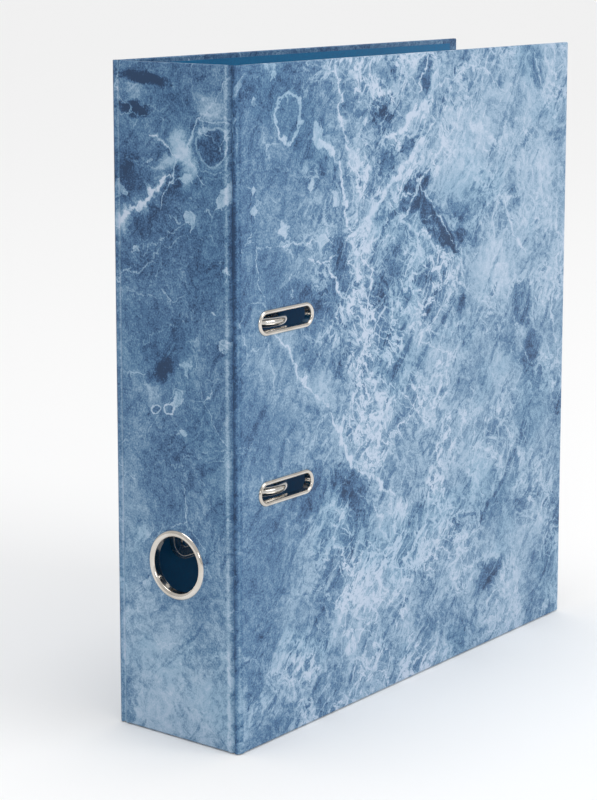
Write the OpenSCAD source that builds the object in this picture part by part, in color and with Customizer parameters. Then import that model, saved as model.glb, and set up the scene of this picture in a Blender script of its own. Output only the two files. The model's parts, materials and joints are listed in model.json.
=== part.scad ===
// Lever arch file for A4 paper, closed, standing on its lower edges.
// Every module is drawn in the file's own corner coordinates:
//   x = u, distance from the spine's outer face towards the fore-edge
//   y = v, distance from the back cover's outer face towards the front cover
//   z = height above the shelf
// place() then moves them to the part's frame: origin at the middle of the
// base, +Z up, spine at -X, front cover at -Y, back cover at +Y.

/* [Covers] */
// Height of the covers and spine
file_height = 318; // [300:1:330]
// Width of the covers, spine face to fore-edge
cover_width = 282; // [250:1:300]
// Depth over both covers
file_depth = 75; // [70:1:90]
// Thickness of the greyboard
board = 2.0; // [1.6:0.1:2.4]
// Thickness of the printed outer wrap
wrap = 0.25; // [0.2:0.05:0.4]
// Thickness of the inner lining paper
lining = 0.2; // [0.15:0.05:0.4]
// Width of the wrap turned in over the inside edges
turn_in = 15; // [10:1:20]
// Margin of the lining at the top and bottom
lining_margin = 2.5; // [2:0.5:9]
// Margin of the lining at the fore-edge
lining_fore_margin = 7; // [3:1:9]

/* [Joints of the cover] */
// Spine face taken up by each flexible joint
joint_spine = 6.0; // [5:0.5:8]
// Cover face taken up by each flexible joint
joint_cover = 4.0; // [3.5:0.5:6]
// Outer radius of the corner
corner_r = 2.4; // [2:0.1:3]
// Depth of the main pressed groove
groove_depth = 0.9; // [0.3:0.1:1.2]

/* [Finger ring] */
// Clear diameter of the finger hole
finger_d = 27; // [24:0.5:30]
// Outer diameter of the ring on the spine
finger_flange_d = 33.3; // [31:0.1:36]
// Height of the ring's centre
finger_z = 84; // [70:1:100]

/* [Cover slots] */
// Clear length of each slot
slot_length = 37; // [34:0.5:40]
// Clear width of each slot
slot_width = 8; // [7:0.5:10]
// Width of the bead round each slot
slot_bead = 2.0; // [1.5:0.1:2.5]
// Distance of the slots' centre from the spine face
slot_u = 35.4; // [34:0.1:37]
// Height of the middle between the two slots
slot_mid_z = 160; // [150:1:170]
// How far beads stand proud of the covers
proud = 1.0; // [0.6:0.1:1.2]

/* [Ring mechanism] */
// Distance between the two rings, the standard punch spacing
ring_spacing = 80; // [80:1:80]
// Diameter of the ring wire
wire_d = 4.6; // [4:0.1:5]
// Height of the mechanism's middle
mech_z = 158; // [155:1:161]
// Distance of the fixed posts from the spine face
post_u = 50.5; // [49:0.5:52]
// Radius of the arch at the wire's centre line
arch_r = 14.5; // [14:0.1:15]
// Top of the arches above the back cover's outer face
arch_top = 70.8; // [68:0.1:70.8]
// Top of the fixed posts above the back cover's outer face
post_top = 50; // [46:0.5:52]
// Thickness of the base plate
plate = 1.0; // [0.8:0.1:1.2]
// Height of the base plate's rim
rim = 0.9; // [0.5:0.1:1.2]

/* [Hidden] */
$fn = 48;

gap = 0.05;                             // play round pieces that are pressed together
run = 0.06;                             // play round pieces that turn on each other
skin = wrap + board;                    // depth of the board's inner face
panel = skin + wrap + lining;           // whole thickness of a cover
front_in = file_depth - panel;          // inner face of the front cover

// Rivets that hold the mechanism
rivet_r = 2.0;
rivet_head_h = 0.6;                     // the domed head on the back cover
rivet_head_r = 4.4;
rivet_inner_r = 3.4;
rivet_dome_r = (rivet_head_r * rivet_head_r + rivet_head_h * rivet_head_h) / (2 * rivet_head_h);

x_mid = (cover_width - proud) / 2;
y_mid = (file_depth + proud - rivet_head_h) / 2;

// Ring mechanism
wire_r = wire_d / 2;
arch_u = post_u - arch_r;
leg_u = arch_u - arch_r;
arch_v = arch_top - wire_r - arch_r;
bail_u = 29;                            // axis the arches swing about
bail_v = 9;
leg_foot_v = 22;                        // where the slanted foot meets the straight leg
tip_gap = 0.3;
plate_v = panel + plate;                // upper face of the base plate
lug_r = 4.3;
lug_z = 22;                             // lugs' distance from the middle
lug_t = 2.4;
body_u = [14, 73];                      // base plate, wide middle
body_half = 56;
body_corner = 6;
end_u = [35, 73];                       // base plate, narrower ends
end_half = 87;
end_corner = 12;
rim_w = 1.5;
rivet_u = [46, 63];
rivet_z = 78;

// Lever
lever_u = 42;
lever_v = 17;
lever_half = 8;                         // half its width
sheet = 1.2;                            // thickness of the pressed steel
roller_u = 40;
roller_v = 11.9;
roller_r = 3.4;
pin_r = 1.5;
cheek_r = 3.1;                          // lever's cheeks round the roller pin
cheek_gap = 0.4;
bracket_half = lever_half + cheek_gap + sheet;
rocker_half = 5.5;
rocker_end = 47;
rocker_top = roller_v - roller_r - 0.2;

// Compressor bar
bar_v = 5.2;
bar_t = 1.4;
bar_hole_r = wire_r + 0.25;
bar_end_r = 7;
bar_reach = 13;                         // from the posts to the bar's outer edge
bar_w = 8;
bar_lip = 4;

module place() {
    translate([-x_mid, y_mid, 0]) mirror([0, 1, 0]) children();
}

module block(u, v, z) {
    translate([u[0], v[0], z[0]]) cube([u[1] - u[0], v[1] - v[0], z[1] - z[0]]);
}

// A shape drawn in (u, z), thickened along v from v0
module along_v(v0, t) {
    translate([0, v0 + t, 0]) rotate([90, 0, 0]) linear_extrude(t) children();
}

// A shape drawn in (u, v), thickened along z about the mechanism's middle
module across(half) {
    translate([0, 0, mech_z - half]) linear_extrude(2 * half) children();
}

// A shape drawn in (radius, height), turned about the line through (u, v, z) along v
module turned_v(u, v, z) {
    translate([u, v, z]) rotate([-90, 0, 0]) rotate_extrude() children();
}

module rounded(u, z, r) {
    translate([u[0] + r, z[0]]) square([u[1] - u[0] - 2 * r, z[1] - z[0]]);
    translate([u[0], z[0] + r]) square([u[1] - u[0], z[1] - z[0] - 2 * r]);
    for (cu = [u[0] + r, u[1] - r], cz = [z[0] + r, z[1] - r]) translate([cu, cz]) circle(r);
}

module stadium(length, r) {
    translate([-length / 2, -r]) square([length, 2 * r]);
    for (side = [-1, 1]) translate([side * length / 2, 0]) circle(r);
}

// Half-round bead profile of a given width and height, drawn from x = 0
module bead(width, height) {
    r = (width * width / 4 + height * height) / (2 * height);
    intersection() {
        translate([width / 2, height - r]) circle(r);
        square([width, height]);
    }
}

// A thin strip of sheet metal: path points and their copies moved sideways by t
function unit(a) = a / norm(a);
function side(a) = [-a[1], a[0]];
function mitre(p, i) =
    let (
        n = len(p),
        before = side(unit(p[max(i, 1)] - p[max(i, 1) - 1])),
        after = side(unit(p[min(i + 1, n - 1)] - p[min(i + 1, n - 1) - 1])),
        mean = unit(before + after)
    ) mean / (mean * before);
function moved(p, t) = [for (i = [0:len(p) - 1]) p[i] + t * mitre(p, i)];
function reversed(p) = [for (i = [len(p) - 1:-1:0]) p[i]];
module strip(p, t) {
    polygon(concat(p, reversed(moved(p, t))));
}

// ---- covers -------------------------------------------------------------

module slot_holes(r_extra) {
    for (side = [-1, 1])
        translate([slot_u, slot_mid_z + side * ring_spacing / 2])
            stadium(slot_length - slot_width, slot_width / 2 + r_extra);
}

module rivet_holes() {
    for (u = rivet_u, side = [-1, 1]) translate([u, mech_z + side * rivet_z]) circle(rivet_r + gap);
}

// One cover's three layers: its outer face is v = 0 and its joint is at u = joint_cover
module cover_board() {
    block([joint_cover, cover_width - wrap], [wrap, skin], [wrap, file_height - wrap]);
}

module cover_wrap() {
    difference() {
        block([joint_cover, cover_width], [0, skin + wrap], [0, file_height]);
        block([0, cover_width - wrap], [wrap, skin], [wrap, file_height - wrap]);
        block([0, cover_width - turn_in], [wrap, panel], [turn_in, file_height - turn_in]);
    }
}

module cover_lining() {
    block([joint_cover, cover_width - lining_fore_margin], [skin + wrap, panel],
          [lining_margin, file_height - lining_margin]);
    block([joint_cover, cover_width - turn_in], [skin, panel], [turn_in, file_height - turn_in]);
}

// Turns a back cover piece into the front cover's
module to_front() {
    translate([0, file_depth, 0]) mirror([0, 1, 0]) children();
}

barrel = 0.5;                           // wall of the eyelets' barrels
barrel_hole = barrel + gap;             // board holes are cut this much over the clear size

module slotted() {
    difference() {
        children();
        along_v(front_in - 1, panel + 2) slot_holes(barrel_hole);
    }
}

module riveted() {
    difference() {
        children();
        along_v(-1, panel + 2) rivet_holes();
    }
}

module back_board() { color("tan") place() riveted() cover_board(); }
module back_wrap() { color("steelblue") place() riveted() cover_wrap(); }
module back_lining() { color("teal") place() riveted() cover_lining(); }
module front_board() { color("tan") place() slotted() to_front() cover_board(); }
module front_wrap() { color("steelblue") place() slotted() to_front() cover_wrap(); }
module front_lining() { color("teal") place() slotted() to_front() cover_lining(); }

// ---- spine --------------------------------------------------------------

spine_v = [joint_spine, file_depth - joint_spine];
finger_r = finger_d / 2;

module finger_drilled() {
    difference() {
        children();
        translate([-1, file_depth / 2, finger_z]) rotate([0, 90, 0])
            cylinder(h = panel + 2, r = finger_r + barrel_hole);
    }
}

module spine_board() {
    color("tan") place() finger_drilled()
        block([wrap, skin], spine_v, [wrap, file_height - wrap]);
}

module spine_wrap() {
    color("steelblue") place() finger_drilled() difference() {
        block([0, skin + wrap], spine_v, [0, file_height]);
        block([wrap, skin], [0, file_depth], [wrap, file_height - wrap]);
        block([wrap, panel], [0, file_depth], [turn_in, file_height - turn_in]);
    }
}

module spine_lining() {
    color("teal") place() finger_drilled() union() {
        block([skin + wrap, panel], spine_v, [lining_margin, file_height - lining_margin]);
        block([skin, panel], spine_v, [turn_in, file_height - turn_in]);
    }
}

// ---- flexible joints ----------------------------------------------------
// Drawn in (p, q): p runs into the file from the spine's face, q from the
// cover's face. The sheet leaves the spine at q = joint_spine, dips into a
// groove, turns the corner and meets the cover at p = joint_cover.

spine_run = joint_spine - corner_r;
corner_run = PI * corner_r / 2;
joint_run = spine_run + corner_run + joint_cover - corner_r;
joint_steps = 36;
grooves = [[0.275 * joint_run, 0.17 * joint_run, groove_depth],
           [0.745 * joint_run, 0.12 * joint_run, groove_depth / 2]];

function corner_angle(s) = 90 * min(max((s - spine_run) / corner_run, 0), 1);
function bump(x) = abs(x) < 1 ? (1 + cos(180 * x)) / 2 : 0;
function dip(s) = grooves[0][2] * bump((s - grooves[0][0]) / grooves[0][1])
    + grooves[1][2] * bump((s - grooves[1][0]) / grooves[1][1]);
function joint_point(s, depth) =
    let (
        a = corner_angle(s),
        before = max(spine_run - s, 0),
        after = max(s - spine_run - corner_run, 0),
        d = dip(s) + depth
    ) [corner_r - (corner_r - d) * cos(a) + after, corner_r - (corner_r - d) * sin(a) + before];
function joint_curve(depth, from, to) =
    [for (i = [0:joint_steps]) joint_point(from + (to - from) * i / joint_steps, depth)];

module joint_wrap_profile() {
    polygon(concat(joint_curve(0, 0, joint_run), reversed(joint_curve(wrap, 0, joint_run))));
}

// The lining runs down the spine board's edge, along the wrap and up the cover board's edge
module joint_lining_profile() {
    polygon(concat(
        [[panel, joint_spine]],
        joint_curve(wrap, 0, joint_run),
        [[joint_cover, panel], [joint_cover - lining, panel]],
        reversed(joint_curve(wrap + lining, lining, joint_run - lining)),
        [[panel, joint_spine - lining]]
    ));
}

module back_joint_wrap() {
    color("steelblue") place() linear_extrude(file_height) joint_wrap_profile();
}

module back_joint_lining() {
    color("teal") place() translate([0, 0, lining_margin])
        linear_extrude(file_height - 2 * lining_margin) joint_lining_profile();
}

module front_joint_wrap() {
    color("steelblue") place() to_front() linear_extrude(file_height) joint_wrap_profile();
}

module front_joint_lining() {
    color("teal") place() to_front() translate([0, 0, lining_margin])
        linear_extrude(file_height - 2 * lining_margin) joint_lining_profile();
}

// ---- finger ring --------------------------------------------------------

collar_t = 0.4;                         // inner washers
clinch = 0.3;                           // barrel rolled over the washer

// Turned about the finger hole's axis, height measured outwards from the spine's face
module on_spine() {
    translate([0, file_depth / 2, finger_z]) rotate([0, -90, 0]) rotate_extrude($fn = 96) children();
}

module finger_ring() {
    color("silver") place() on_spine() {
        translate([finger_r, 0]) bead((finger_flange_d - finger_d) / 2, proud);
        translate([finger_r, -panel - collar_t]) square([barrel, panel + collar_t + proud / 4]);
        translate([finger_r, -panel - collar_t - clinch]) square([2 * barrel, clinch]);
    }
}

module finger_ring_collar() {
    color("silver") place() on_spine()
        translate([finger_r + barrel_hole, -panel - collar_t])
            square([(finger_flange_d - finger_d) / 2 - barrel_hole, collar_t]);
}

// ---- slots in the front cover -------------------------------------------

// Sweeps a profile (outward distance, height) round a stadium that lies in XY
module round_slot() {
    run_length = slot_length - slot_width;
    for (turn = [0, 180]) rotate([0, 0, turn]) {
        translate([run_length / 2, 0, 0]) rotate([0, 0, -90])
            rotate_extrude(angle = 180, $fn = 64) translate([slot_width / 2, 0]) children();
        translate([-run_length / 2, 0, 0]) rotate([90, 0, 90])
            linear_extrude(run_length) translate([slot_width / 2, 0]) children();
    }
}

// Height is measured outwards from the front cover's face
module at_slot(side) {
    translate([slot_u, file_depth, slot_mid_z + side * ring_spacing / 2])
        rotate([-90, 0, 0]) round_slot() children();
}

module slot_rim(side) {
    color("silver") place() at_slot(side) union() {
        bead(slot_bead, proud);
        translate([0, -panel - collar_t]) square([barrel, panel + collar_t + proud / 4]);
        translate([0, -panel - collar_t - clinch]) square([2 * barrel, clinch]);
    }
}

module slot_collar(side) {
    color("silver") place() at_slot(side)
        translate([barrel_hole, -panel - collar_t]) square([slot_bead - barrel_hole, collar_t]);
}

module slot_rim_upper() { slot_rim(1); }
module slot_rim_lower() { slot_rim(-1); }
module slot_collar_upper() { slot_collar(1); }
module slot_collar_lower() { slot_collar(-1); }

// ---- fixed part of the mechanism ----------------------------------------

module plate_outline(inset) {
    rounded([body_u[0] + inset, body_u[1] - inset],
            [mech_z - body_half + inset, mech_z + body_half - inset], body_corner - inset);
    rounded([end_u[0] + inset, end_u[1] - inset],
            [mech_z - end_half + inset, mech_z + end_half - inset], end_corner - inset);
}

post_foot_r = 3.6;
post_foot_h = 1;
post_spigot_r = 1.6;
post_chamfer = 0.6;
bracket_u = [37, 53.5];                 // the bracket's foot
bracket_rivet_u = 50.2;
bracket_rivet_z = 5.8;                  // rivets' distance from the middle
bracket_ear_r = 4;
small_head_r = 2.4;
small_head_h = 0.8;

module base_plate() {
    color("gainsboro") place() {
        difference() {
            along_v(panel, plate) plate_outline(0);
            along_v(panel - 1, plate + 2) rivet_holes();
            along_v(panel - 1, plate + 2) for (side = [-1, 1]) {
                translate([post_u, mech_z + side * ring_spacing / 2]) circle(post_spigot_r + gap);
                translate([bracket_rivet_u, mech_z + side * bracket_rivet_z]) circle(pin_r + gap);
            }
        }
        along_v(plate_v, rim) difference() {
            plate_outline(0);
            plate_outline(rim_w);
        }
        for (side = [-1, 1]) translate([0, 0, side * lug_z]) bearing_lug();
    }
}

// A lug pressed up from the plate, bored for the bail wire
module bearing_lug() {
    difference() {
        across(lug_t / 2) {
            translate([bail_u, bail_v]) circle(lug_r);
            translate([bail_u - lug_r, panel + plate / 2])
                square([2 * lug_r, bail_v - panel - plate / 2]);
        }
        across(lug_t) translate([bail_u, bail_v]) circle(wire_r + run);
    }
}

// Rivets through the back cover and the base plate, heads outside and inside
module mechanism_rivets() {
    color("silver") place() for (u = rivet_u, side = [-1, 1])
        turned_v(u, 0, mech_z + side * rivet_z) {
            square([rivet_r, plate_v]);
            intersection() {
                translate([0, rivet_dome_r - rivet_head_h]) circle(rivet_dome_r, $fn = 96);
                translate([0, -rivet_head_h]) square([rivet_head_r, rivet_head_h]);
            }
            translate([0, plate_v]) square([rivet_inner_r, small_head_h]);
        }
}

module post(side) {
    color("silver") place() turned_v(post_u, panel, mech_z + side * ring_spacing / 2) {
        square([post_spigot_r, plate]);
        translate([0, plate]) square([post_foot_r, post_foot_h]);
        polygon([[0, plate], [wire_r, plate], [wire_r, post_top - panel - post_chamfer],
                 [wire_r - post_chamfer, post_top - panel], [0, post_top - panel]]);
    }
}

module post_upper() { post(1); }
module post_lower() { post(-1); }

// U-shaped bracket that carries the lever
module lever_bracket() {
    color("gainsboro") place() difference() {
        union() {
            block(bracket_u, [plate_v, plate_v + sheet], [mech_z - bracket_half, mech_z + bracket_half]);
            for (side = [-1, 1]) translate([0, 0, side * (bracket_half - sheet / 2)]) across(sheet / 2) {
                translate([lever_u, lever_v]) circle(bracket_ear_r);
                polygon([[bracket_u[0], plate_v], [bracket_u[1], plate_v],
                         [bracket_u[1], plate_v + 2 * sheet],
                         [lever_u + bracket_ear_r, lever_v], [lever_u - bracket_ear_r, lever_v],
                         [bracket_u[0], plate_v + 2 * sheet]]);
            }
        }
        across(2 * bracket_half) translate([lever_u, lever_v]) circle(pin_r + gap);
        along_v(plate_v - 1, sheet + 2) for (side = [-1, 1])
            translate([bracket_rivet_u, mech_z + side * bracket_rivet_z]) circle(pin_r + gap);
    }
}

module bracket_rivets() {
    color("silver") place() for (side = [-1, 1])
        turned_v(bracket_rivet_u, panel, mech_z + side * bracket_rivet_z) {
            square([pin_r, plate + sheet]);
            translate([0, plate + sheet]) square([small_head_r, small_head_h]);
        }
}

module lever_pin() {
    color("silver") place() across(bracket_half) translate([lever_u, lever_v]) circle(pin_r);
    color("silver") place() for (side = [-1, 1])
        translate([0, 0, side * (bracket_half + small_head_h / 2)]) across(small_head_h / 2)
            translate([lever_u, lever_v]) circle(small_head_r);
}

// ---- arches -------------------------------------------------------------

// One wire: a shaft between the lugs and an arch at each end
module bail_wire() {
    color("silver") place() {
        across(ring_spacing / 2) translate([bail_u, bail_v]) circle(wire_r);
        for (side = [-1, 1]) translate([0, 0, mech_z + side * ring_spacing / 2]) arch();
    }
}

module rod(a, b) {
    d = b - a;
    translate([a[0], a[1], 0]) rotate([0, 0, atan2(d[1], d[0])]) rotate([0, 90, 0])
        cylinder(h = norm(d), r = wire_r);
}

module arch() {
    translate([bail_u, bail_v, 0]) sphere(wire_r);
    rod([bail_u, bail_v], [leg_u, leg_foot_v]);
    translate([leg_u, leg_foot_v, 0]) sphere(wire_r);
    rod([leg_u, leg_foot_v], [leg_u, arch_v]);
    translate([arch_u, arch_v, 0]) rotate_extrude(angle = 180, $fn = 96)
        translate([arch_r, 0]) circle(wire_r);
    rod([post_u, post_top + tip_gap], [post_u, arch_v]);
}

// Stamped plate fixed on the bail wire, with the arm that the roller holds down
module rocker_plate() {
    color("gainsboro") place() difference() {
        across(rocker_half) {
            translate([bail_u, bail_v]) circle(wire_r + sheet);
            polygon([[bail_u, rocker_top - sheet], [rocker_end - sheet, rocker_top - sheet],
                     [rocker_end - sheet / 2, rocker_top - 2 * sheet], [rocker_end, rocker_top - sheet],
                     [rocker_end - sheet, rocker_top], [bail_u, rocker_top]]);
        }
        across(2 * rocker_half) translate([bail_u, bail_v]) circle(wire_r + gap);
    }
}

// ---- lever --------------------------------------------------------------

// Path of the lever's underside, from its short end over the pivot to the curled finger grip
lever_path = [[8.4, 30.6], [8.8, 28.4], [10.2, 26.2], [12.6, 24.8], [36, 19.6], [46, 19.6]];

// Seen from the front cover: straight sides and a grip with rounded corners
module lever_outline() {
    rounded([0, 60], [mech_z - lever_half, mech_z + lever_half], 5);
}

module lever() {
    color("gainsboro") place() difference() {
        union() {
            intersection() {
                across(lever_half) strip(lever_path, sheet);
                along_v(lever_v, 20) lever_outline();
            }
            for (side = [-1, 1]) translate([0, 0, side * (lever_half - sheet / 2)]) across(sheet / 2) {
                polygon([[46, 20.2], [30, 21.6], [30, 20.6], [roller_u - cheek_r, roller_v],
                         [roller_u + cheek_r, roller_v], [46, 16.2]]);
                translate([roller_u, roller_v]) circle(cheek_r);
            }
        }
        across(2 * lever_half) translate([lever_u, lever_v]) circle(pin_r + run);
        across(2 * lever_half) translate([roller_u, roller_v]) circle(pin_r);
    }
}

module roller_pin() {
    color("silver") place() across(lever_half) translate([roller_u, roller_v]) circle(pin_r);
}

module roller() {
    color("dimgray") place() across(lever_half - sheet - cheek_gap) difference() {
        translate([roller_u, roller_v]) circle(roller_r);
        translate([roller_u, roller_v]) circle(pin_r + run);
    }
}

// ---- compressor bar -----------------------------------------------------

module compressor_bar() {
    color("silver") place() {
        along_v(bar_v, bar_t) difference() {
            union() {
                for (side = [-1, 1]) translate([0, mech_z + side * ring_spacing / 2]) {
                    translate([post_u, 0]) circle(bar_end_r);
                    translate([post_u, -bar_end_r]) square([bar_reach, 2 * bar_end_r]);
                }
                translate([post_u + bar_reach - bar_w, mech_z - ring_spacing / 2])
                    square([bar_w, ring_spacing]);
            }
            for (side = [-1, 1]) translate([post_u, mech_z + side * ring_spacing / 2]) circle(bar_hole_r);
        }
        block([post_u + bar_reach - bar_t, post_u + bar_reach], [bar_v, bar_v + bar_lip],
              [mech_z - ring_spacing / 2, mech_z + ring_spacing / 2]);
    }
}

back_board();
back_wrap();
back_lining();
back_joint_wrap();
back_joint_lining();
spine_board();
spine_wrap();
spine_lining();
finger_ring();
finger_ring_collar();
front_joint_wrap();
front_joint_lining();
front_board();
front_wrap();
front_lining();
slot_rim_upper();
slot_rim_lower();
slot_collar_upper();
slot_collar_lower();
base_plate();
mechanism_rivets();
post_upper();
post_lower();
bail_wire();
rocker_plate();
lever_bracket();
bracket_rivets();
lever_pin();
lever();
roller_pin();
roller();
compressor_bar();
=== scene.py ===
"""Lever arch file: the looks. Every length below is in millimetres unless it says otherwise."""
import json
import math

import bmesh
import bpy
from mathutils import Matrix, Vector

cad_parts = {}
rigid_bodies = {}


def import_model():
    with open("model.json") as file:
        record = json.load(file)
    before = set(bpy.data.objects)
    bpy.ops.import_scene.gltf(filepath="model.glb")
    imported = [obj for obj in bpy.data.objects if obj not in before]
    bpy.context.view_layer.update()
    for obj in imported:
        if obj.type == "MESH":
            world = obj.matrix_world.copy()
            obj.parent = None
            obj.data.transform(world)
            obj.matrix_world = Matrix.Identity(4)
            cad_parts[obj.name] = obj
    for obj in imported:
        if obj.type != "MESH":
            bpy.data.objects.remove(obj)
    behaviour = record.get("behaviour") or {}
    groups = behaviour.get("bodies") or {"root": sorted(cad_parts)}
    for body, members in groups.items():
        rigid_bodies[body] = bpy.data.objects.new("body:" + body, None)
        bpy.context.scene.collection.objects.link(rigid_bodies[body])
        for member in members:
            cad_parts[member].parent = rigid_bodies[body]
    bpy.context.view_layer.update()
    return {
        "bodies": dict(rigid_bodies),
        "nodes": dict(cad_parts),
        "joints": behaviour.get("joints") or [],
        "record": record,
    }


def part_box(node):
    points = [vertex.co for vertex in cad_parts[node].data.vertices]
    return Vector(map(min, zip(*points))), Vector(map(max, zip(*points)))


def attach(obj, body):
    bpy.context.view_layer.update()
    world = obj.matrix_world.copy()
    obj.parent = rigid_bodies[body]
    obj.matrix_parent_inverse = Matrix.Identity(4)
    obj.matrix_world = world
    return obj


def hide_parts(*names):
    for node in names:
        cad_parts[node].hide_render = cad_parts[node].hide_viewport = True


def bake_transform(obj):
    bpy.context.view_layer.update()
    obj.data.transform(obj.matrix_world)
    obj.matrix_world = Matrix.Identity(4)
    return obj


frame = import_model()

MM = 0.001

# ---- places, all read from the frame ---------------------------------------
# u runs from the spine's face to the fore-edge, v from the back cover's face to
# the front cover's face, z is height.

SPINE_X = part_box("spine_wrap")[0].x
BACK_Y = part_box("back_wrap")[1].y
WIDTH = (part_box("front_wrap")[1].x - SPINE_X) / MM
DEPTH = (BACK_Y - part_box("front_wrap")[0].y) / MM
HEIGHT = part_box("front_wrap")[1].z / MM
JOINT_COVER = (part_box("front_wrap")[0].x - SPINE_X) / MM
JOINT_SPINE = (BACK_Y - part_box("spine_wrap")[1].y) / MM
WRAPPED = (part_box("front_wrap")[1].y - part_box("front_wrap")[0].y) / MM
PANEL = (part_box("front_lining")[1].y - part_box("front_wrap")[0].y) / MM
WRAP = 0.25
LINING = 0.2
LINING_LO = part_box("front_joint_lining")[0].z / MM
TURN_IN = 15


def at(u, v, z):
    """A point of the file, in metres, in the row frame."""
    return Vector((SPINE_X + u * MM, BACK_Y - v * MM, z * MM))


def place_of(node):
    """A CAD node's low and high corner as (u, v, z) in millimetres."""
    lo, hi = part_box(node)
    return (
        Vector(((lo.x - SPINE_X) / MM, (BACK_Y - hi.y) / MM, lo.z / MM)),
        Vector(((hi.x - SPINE_X) / MM, (BACK_Y - lo.y) / MM, hi.z / MM)),
    )


# ---- node trees --------------------------------------------------------------


def linear(hexcode):
    """An sRGB colour such as '8fb0c8' as linear RGBA."""
    channels = [int(hexcode[i:i + 2], 16) / 255 for i in (0, 2, 4)]
    return [c / 12.92 if c <= 0.04045 else ((c + 0.055) / 1.055) ** 2.4 for c in channels] + [1.0]


def axes(centre, turn, size=(1, 1)):
    """Two vectors whose dot products with (x, y, 1) give the place along and across a direction
    from centre."""
    c, s = math.cos(math.radians(turn)), math.sin(math.radians(turn))
    x, y = centre
    return ((c / size[0], s / size[0], -(c * x + s * y) / size[0]),
            (-s / size[1], c / size[1], (s * x - c * y) / size[1]))


class Tree:
    """Short calls that add nodes to a tree. An argument is a number, a tuple or another node's output."""

    def __init__(self, tree):
        self.tree = tree

    def node(self, kind, inputs=(), **settings):
        made = self.tree.nodes.new(kind)
        for name, value in settings.items():
            setattr(made, name, value)
        pairs = inputs.items() if isinstance(inputs, dict) else enumerate(inputs)
        for key, value in pairs:
            if value is None:
                continue
            if isinstance(value, bpy.types.NodeSocket):
                self.tree.links.new(value, made.inputs[key])
            else:
                made.inputs[key].default_value = value
        return made

    def math(self, operation, a, b=None, c=None):
        return self.node("ShaderNodeMath", (a, b, c), operation=operation).outputs[0]

    def add(self, a, b):
        return self.math("ADD", a, b)

    def sub(self, a, b):
        return self.math("SUBTRACT", a, b)

    def mul(self, a, b):
        return self.math("MULTIPLY", a, b)

    def highest(self, top, *others):
        for value in others:
            top = self.math("MAXIMUM", top, value)
        return top

    def length(self, x, y):
        return self.math("SQRT", self.math("MULTIPLY_ADD", y, y, self.mul(x, x)))

    def vector(self, operation, a, b=None, c=None):
        made = self.node("ShaderNodeVectorMath", (a, b, c), operation=operation)
        return made.outputs[1] if operation == "DOT_PRODUCT" else made.outputs[0]

    def shaken(self, where, noise_node, amount):
        """where moved about in its plane by a noise's colour."""
        colour = self.vector("SUBTRACT", noise_node.outputs["Color"], (0.5, 0.5, 0.5))
        return self.vector("MULTIPLY_ADD", colour, (amount, amount, 0), where)

    def step(self, value, low, high, to_low=0.0, to_high=1.0, kind="SMOOTHSTEP"):
        """A smooth step of value from low to high."""
        return self.node("ShaderNodeMapRange", (value, low, high, to_low, to_high), interpolation_type=kind,
                         clamp=False).outputs[0]

    def noise(self, where, scale, detail=4.0, rough=0.5, dimensions="2D", distortion=0.0):
        return self.node("ShaderNodeTexNoise", {"Vector": where, "Scale": scale, "Detail": detail,
                                                "Roughness": rough, "Distortion": distortion},
                         noise_dimensions=dimensions)

    def waves(self, place, scale, detail, rough=0.5):
        """Noise along one line."""
        return self.node("ShaderNodeTexNoise", {"W": place, "Scale": scale, "Detail": detail,
                                                "Roughness": rough}, noise_dimensions="1D").outputs[0]

    def local(self, where, centre, turn, size):
        """where as seen from a centre: along a direction in degrees, and across it, in units of size."""
        return [self.vector("DOT_PRODUCT", where, axis) for axis in axes(centre, turn, size)]

    def flat(self, where, seed, turn, size):
        """Like local, as one vector, with its own seed in place of a centre."""
        x, y = self.local(where, (seed, -seed), turn, size)
        return self.node("ShaderNodeCombineXYZ", (x, y)).outputs[0]

    def mix(self, factor, a, b, blend="MIX"):
        return self.node("ShaderNodeMix", {0: factor, 6: a, 7: b}, data_type="RGBA",
                         blend_type=blend).outputs[2]

    def ramp(self, value, stops):
        """A colour ramp through (position, sRGB hex) stops."""
        made = self.node("ShaderNodeValToRGB", (value,))
        elements = made.color_ramp.elements
        while len(elements) < len(stops):
            elements.new(0.5)
        for element, (position, colour) in zip(elements, stops):
            element.position = position
            element.color = linear(colour)
        return made.outputs[0]

    def bump(self, height, distance, strength=1.0, normal=None):
        return self.node("ShaderNodeBump", {"Height": height, "Distance": distance, "Strength": strength,
                                            "Normal": normal}).outputs[0]


def new_material(name, **shader):
    """A material with a Principled shader. Numbers are set on its own sockets."""
    made = bpy.data.materials.new(name)
    made.use_nodes = True
    t = Tree(made.node_tree)
    principled = made.node_tree.nodes["Principled BSDF"]
    for key, value in shader.items():
        socket = principled.inputs[key.replace("_", " ")]
        if isinstance(value, str):
            value = linear(value)
        socket.default_value = value
    return made, t, principled


def feed(t, principled, **sockets):
    for key, value in sockets.items():
        t.tree.links.new(value, principled.inputs[key.replace("_", " ")])


# ---- the ice print -----------------------------------------------------------
# Its coordinates are the unwrapped cover in units of 10 cm: s is 0 at the front
# corner, runs to the right over the front cover, and to the left over the spine
# and round the back cover. t is height.

UNIT = 100.0

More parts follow.
